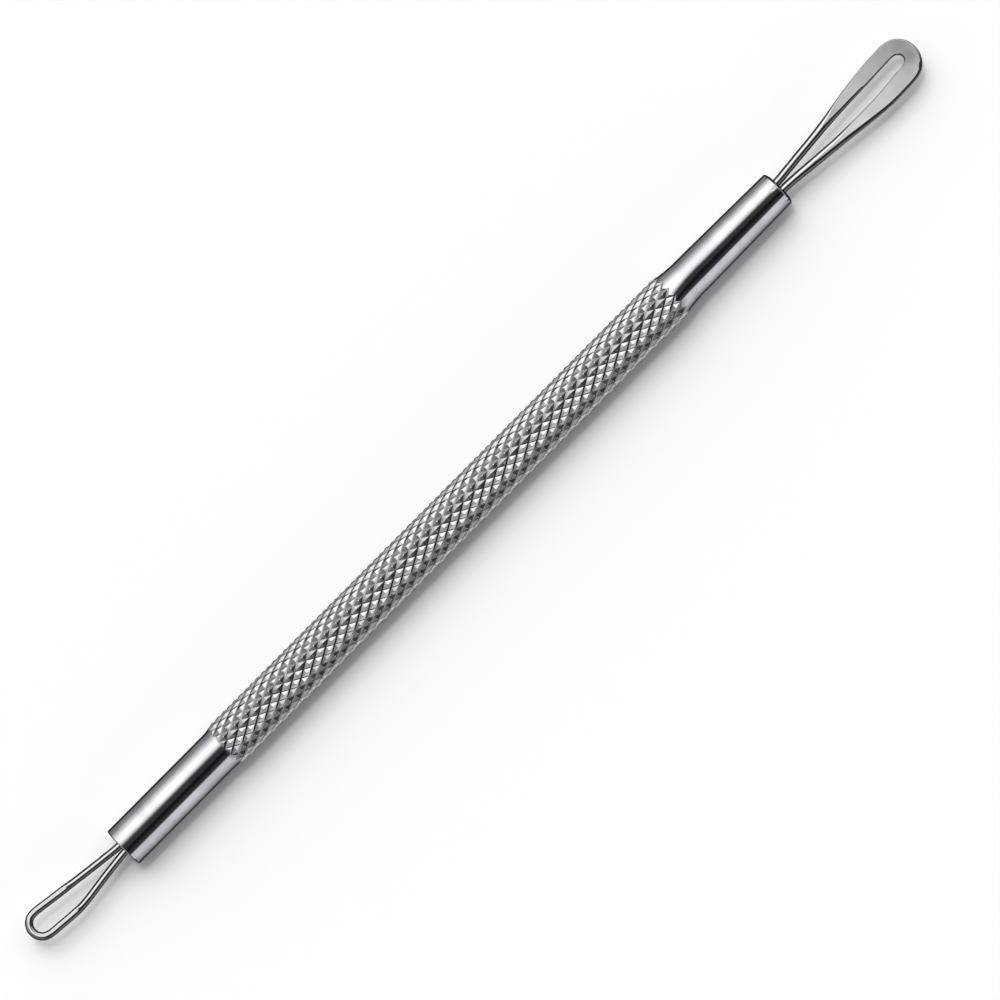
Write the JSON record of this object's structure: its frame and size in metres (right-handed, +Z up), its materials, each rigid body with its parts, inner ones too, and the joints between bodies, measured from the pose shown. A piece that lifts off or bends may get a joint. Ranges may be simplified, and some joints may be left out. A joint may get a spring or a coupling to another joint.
{
  "type": "blackhead extractor",
  "caption": "Slim double-ended blackhead extractor: a round knurled steel handle with a smooth neck at each end, one holding a narrow wire loop and the other a wider flattened loop.",
  "frame": {"origin": "on the handle's axis, halfway between the tips of the two loops", "axes": "+X runs along the handle towards the flattened loop, and -X towards the narrow loop. The loops lie flat in the XY plane. +Y is the side to which both loops bow out a little more. +Z is up from the table that the tool lies on."},
  "size_m": [0.13, 0.0055, 0.0052],
  "materials": {
    "handle_steel": "bright polished, knurled grip, necks with fine turning marks",
    "loop_steel": "polished wire, satin where it is pressed flat",
    "solder": "dull silver solder"
  },
  "bodies": {
    "root": {"handle": "handle_steel", "narrow_loop": "loop_steel", "flattened_loop": "loop_steel", "narrow_loop_solder": "solder", "flattened_loop_solder": "solder"}
  },
  "joints": []
}
